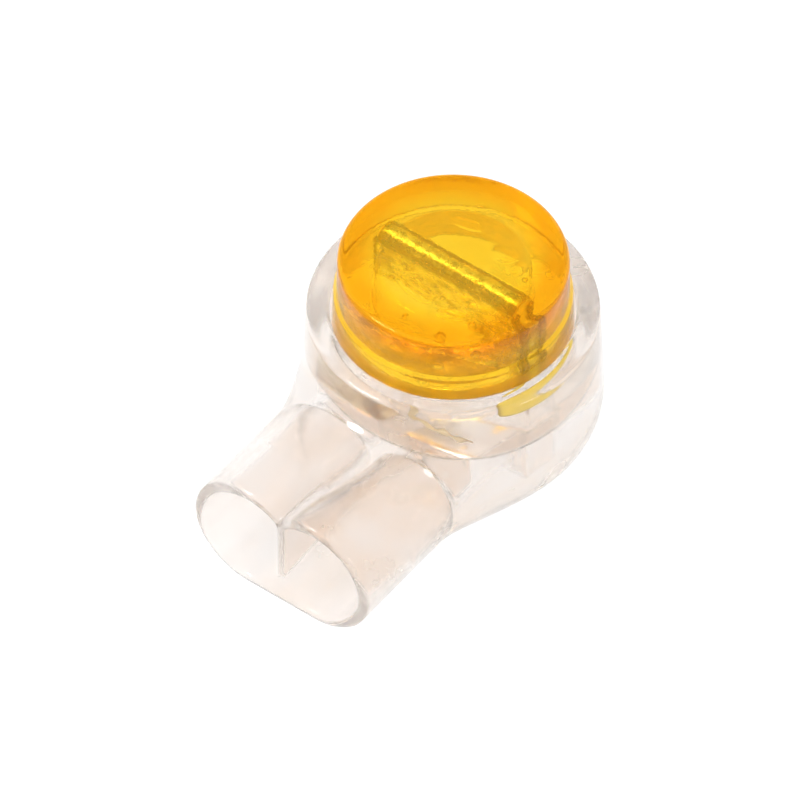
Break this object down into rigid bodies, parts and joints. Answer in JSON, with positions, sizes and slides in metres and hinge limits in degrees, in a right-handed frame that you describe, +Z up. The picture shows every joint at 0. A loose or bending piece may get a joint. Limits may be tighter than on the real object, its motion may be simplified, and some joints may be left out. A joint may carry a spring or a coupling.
{
  "type": "press-button wire splice connector",
  "caption": "Clear press-button wire splice: a rounded can with twin wire ports, an amber cap that pushes a slotted contact onto the wires, and sealing gel inside.",
  "frame": {"origin": "on the can's axis, on the flat underside that the housing rests on", "axes": "+Z up along the can's axis, the way the cap comes off; -Y out of the wire ports; +X across the two ports, to the right when looking into them from -Y"},
  "size_m": [0.01, 0.0144, 0.0084],
  "materials": {
    "housing_plastic": "clear moulded plastic, slightly warm, polished",
    "cap_plastic": "amber transparent moulded plastic",
    "contact_metal": "stamped strip, tin plated",
    "cap_gel": "soft translucent sealing gel",
    "pocket_gel": "soft translucent sealing gel"
  },
  "bodies": {
    "splice_housing": {"housing": "housing_plastic", "pocket_sealant": "pocket_gel"},
    "press_button": {"press_cap": "cap_plastic", "contact_element": "contact_metal", "cap_sealant": "cap_gel"}
  },
  "joints": [
    {"name": "button_press", "type": "slide", "parent": "splice_housing", "child": "press_button", "axis": [0, 0, -1], "range_m": [0, 0.0023], "deforming": ["pocket_sealant"]}
  ]
}
